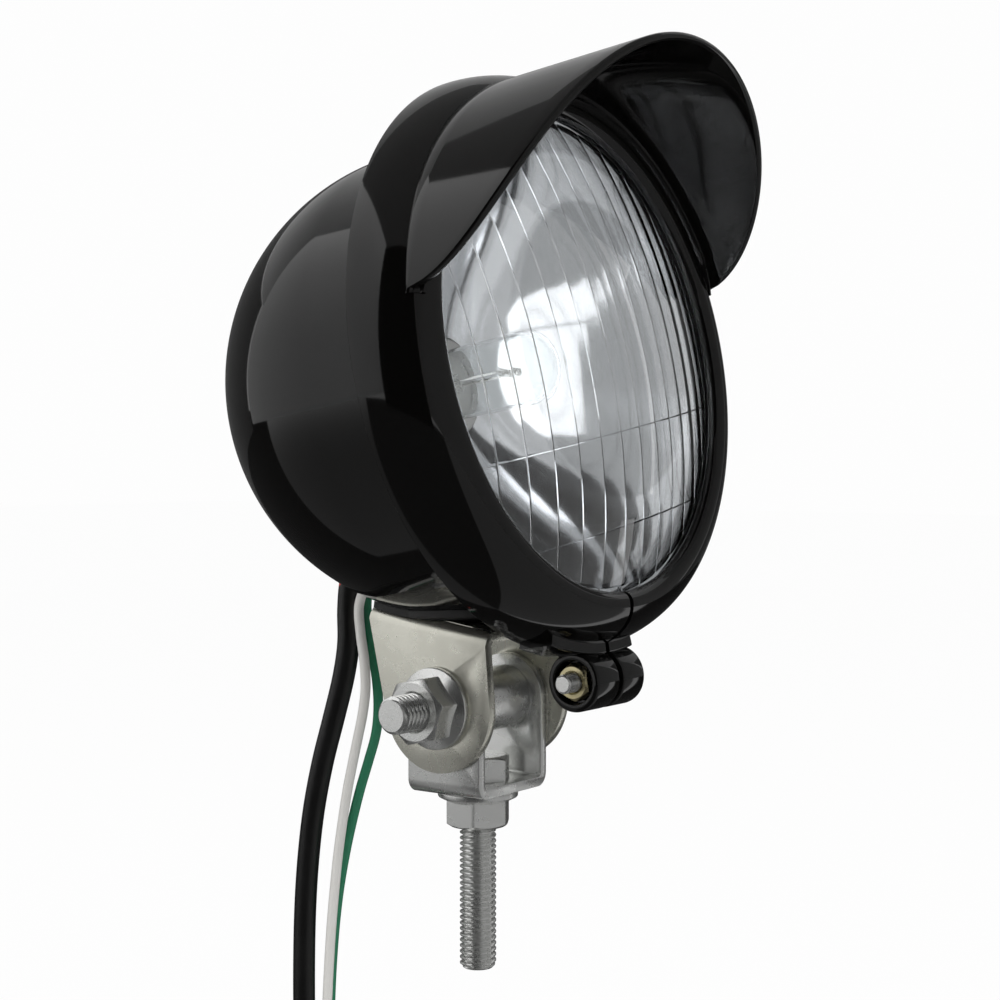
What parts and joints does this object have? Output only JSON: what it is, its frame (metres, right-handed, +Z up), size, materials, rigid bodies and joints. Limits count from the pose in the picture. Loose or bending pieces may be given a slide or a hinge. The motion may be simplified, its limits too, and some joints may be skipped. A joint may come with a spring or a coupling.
{
  "type": "motorcycle headlight",
  "caption": "Small round headlight in a bullet-shaped shell with a peak over its fluted glass, on a tilting bracket with a threaded stud and loose leads behind.",
  "frame": {"origin": "on the stud's axis, at the top of its free thread, 0.3 mm below the nut that clamps the lower bracket", "axes": "+X across the lamp along the pivot bolt, towards its head; -Y the way the lamp shines; +Z up, along the stud towards the lamp"},
  "size_m": [0.1228, 0.111, 0.2857],
  "materials": {
    "zinc": "bright zinc plate",
    "zinc_warm": "zinc plate with a faint yellow tint",
    "zinc_yellow": "yellow zinc plate",
    "black_paint": "deep gloss",
    "black_rubber": "matt",
    "clear_glass": "polished",
    "bright_bowl": "mirror bright",
    "spring_steel": "satin",
    "bulb_metal": "satin",
    "dark_plastic": "matt",
    "black_sleeving": "semi-gloss",
    "red_insulation": "semi-gloss",
    "white_insulation": "semi-gloss",
    "green_insulation": "semi-gloss"
  },
  "bodies": {
    "stud": {"mounting_bolt": "zinc", "mounting_nut": "zinc"},
    "yoke": {"lower_bracket": "zinc", "pivot_bolt": "zinc", "pivot_nut": "zinc", "spacer_tube": "zinc"},
    "head": {"upper_bracket": "zinc_warm", "rubber_pad": "black_rubber", "neck_bolt": "zinc", "neck_plate": "zinc", "neck_nut": "zinc", "bucket": "black_paint", "rim": "black_paint", "clamp_screw": "zinc", "clamp_nut": "zinc_yellow", "visor": "black_paint", "lens": "clear_glass", "lens_gasket": "black_rubber", "lens_clips": "spring_steel", "reflector": "bright_bowl", "bulb": "clear_glass", "bulb_base": "bulb_metal", "bulb_clip": "spring_steel", "bulb_socket": "dark_plastic", "wire_grommet": "black_rubber", "black_sleeve": "black_sleeving", "red_wire": "red_insulation", "white_wire": "white_insulation", "green_wire": "green_insulation"}
  },
  "joints": [
    {"name": "swivel", "type": "hinge", "parent": "stud", "child": "yoke", "pos_m": [0, 0, 0], "axis": [0, 0, 1], "range_deg": [-60, 60]},
    {"name": "tilt", "type": "hinge", "parent": "yoke", "child": "head", "pos_m": [0, 0, 0.0276], "axis": [1, 0, 0], "range_deg": [-30, 45]}
  ]
}
